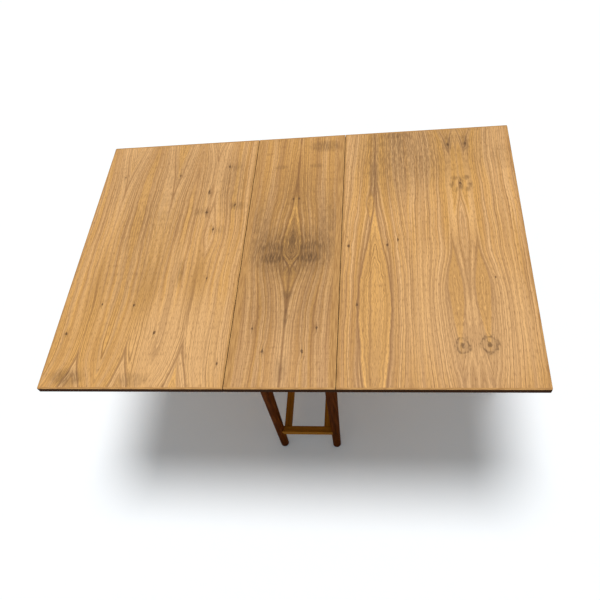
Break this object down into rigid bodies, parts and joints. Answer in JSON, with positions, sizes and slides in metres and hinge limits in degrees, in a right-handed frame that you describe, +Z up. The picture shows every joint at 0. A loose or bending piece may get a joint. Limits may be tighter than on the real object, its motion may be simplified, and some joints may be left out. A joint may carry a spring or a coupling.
{
  "type": "butterfly folding table",
  "caption": "Rectangular table with a narrow centre panel on splayed turned legs and a drop leaf hinged on each side, each leaf on its own fold-flat leg",
  "frame": {"origin": "on the floor under the centre of the top", "axes": "+X to the right leaf, +Y to the rear, +Z up"},
  "size_m": [1.5, 1.05, 0.72],
  "materials": {
    "walnut_veneer": "satin oiled walnut veneer, warm honey brown, grain front to back",
    "walnut_lipping": "satin solid wood edging, close to the veneer in colour",
    "dark_walnut": "satin turned and planed wood, dark olive brown",
    "beech_dowel": "raw beech",
    "brass_hinge": "brushed, dull",
    "steel_screw": "zinc plated",
    "zinc_steel": "zinc plated, pressed",
    "glide_nylon": "moulded, matt"
  },
  "bodies": {
    "base": {"apron_dowels": "beech_dowel", "centre_lipping": "walnut_lipping", "centre_panel": "walnut_veneer", "corner_blocks": "dark_walnut", "front_apron": "dark_walnut", "front_cross_rail": "dark_walnut", "front_left_glide": "glide_nylon", "front_left_leg": "dark_walnut", "front_right_glide": "glide_nylon", "front_right_leg": "dark_walnut", "left_apron": "dark_walnut", "left_hinge_fixed_plates": "brass_hinge", "left_hinge_fixed_screws": "steel_screw", "left_hinge_pins": "brass_hinge", "left_side_rail": "dark_walnut", "rail_dowels": "beech_dowel", "rear_apron": "dark_walnut", "rear_cross_rail": "dark_walnut", "rear_left_glide": "glide_nylon", "rear_left_leg": "dark_walnut", "rear_right_glide": "glide_nylon", "rear_right_leg": "dark_walnut", "right_apron": "dark_walnut", "right_hinge_fixed_plates": "brass_hinge", "right_hinge_fixed_screws": "steel_screw", "right_hinge_pins": "brass_hinge", "right_side_rail": "dark_walnut", "top_fixing_screws": "steel_screw"},
    "right_leaf": {"right_batten_screws": "steel_screw", "right_bracket_screws": "steel_screw", "right_hinge_leaf_plates": "brass_hinge", "right_hinge_leaf_screws": "steel_screw", "right_leaf_battens": "dark_walnut", "right_leaf_lipping": "walnut_lipping", "right_leaf_panel": "walnut_veneer", "right_leg_bracket": "zinc_steel", "right_leg_pivot_bolt": "zinc_steel", "right_leg_pivot_nut": "zinc_steel"},
    "left_leaf": {"left_batten_screws": "steel_screw", "left_bracket_screws": "steel_screw", "left_hinge_leaf_plates": "brass_hinge", "left_hinge_leaf_screws": "steel_screw", "left_leaf_battens": "dark_walnut", "left_leaf_lipping": "walnut_lipping", "left_leaf_panel": "walnut_veneer", "left_leg_bracket": "zinc_steel", "left_leg_pivot_bolt": "zinc_steel", "left_leg_pivot_nut": "zinc_steel"},
    "right_leg": {"right_leaf_leg": "dark_walnut", "right_leaf_leg_glide": "glide_nylon"},
    "left_leg": {"left_leaf_leg": "dark_walnut", "left_leaf_leg_glide": "glide_nylon"}
  },
  "joints": [
    {"name": "right_leaf_drop", "type": "hinge", "parent": "base", "child": "right_leaf", "pos_m": [0.165, 0, 0.701], "axis": [0, 1, 0], "range_deg": [0, 90]},
    {"name": "left_leaf_drop", "type": "hinge", "parent": "base", "child": "left_leaf", "pos_m": [-0.165, 0, 0.701], "axis": [0, -1, 0], "range_deg": [0, 90]},
    {"name": "right_leg_fold", "type": "hinge", "parent": "right_leaf", "child": "right_leg", "pos_m": [0.72, -0.16, 0.684], "axis": [1, 0, 0], "range_deg": [0, 90]},
    {"name": "left_leg_fold", "type": "hinge", "parent": "left_leaf", "child": "left_leg", "pos_m": [-0.72, 0.16, 0.684], "axis": [-1, 0, 0], "range_deg": [0, 90]}
  ],
  "couplings": [
    {"joint": "right_leg_fold", "follows": "right_leaf_drop", "ratio": 1},
    {"joint": "left_leg_fold", "follows": "left_leaf_drop", "ratio": 1}
  ]
}
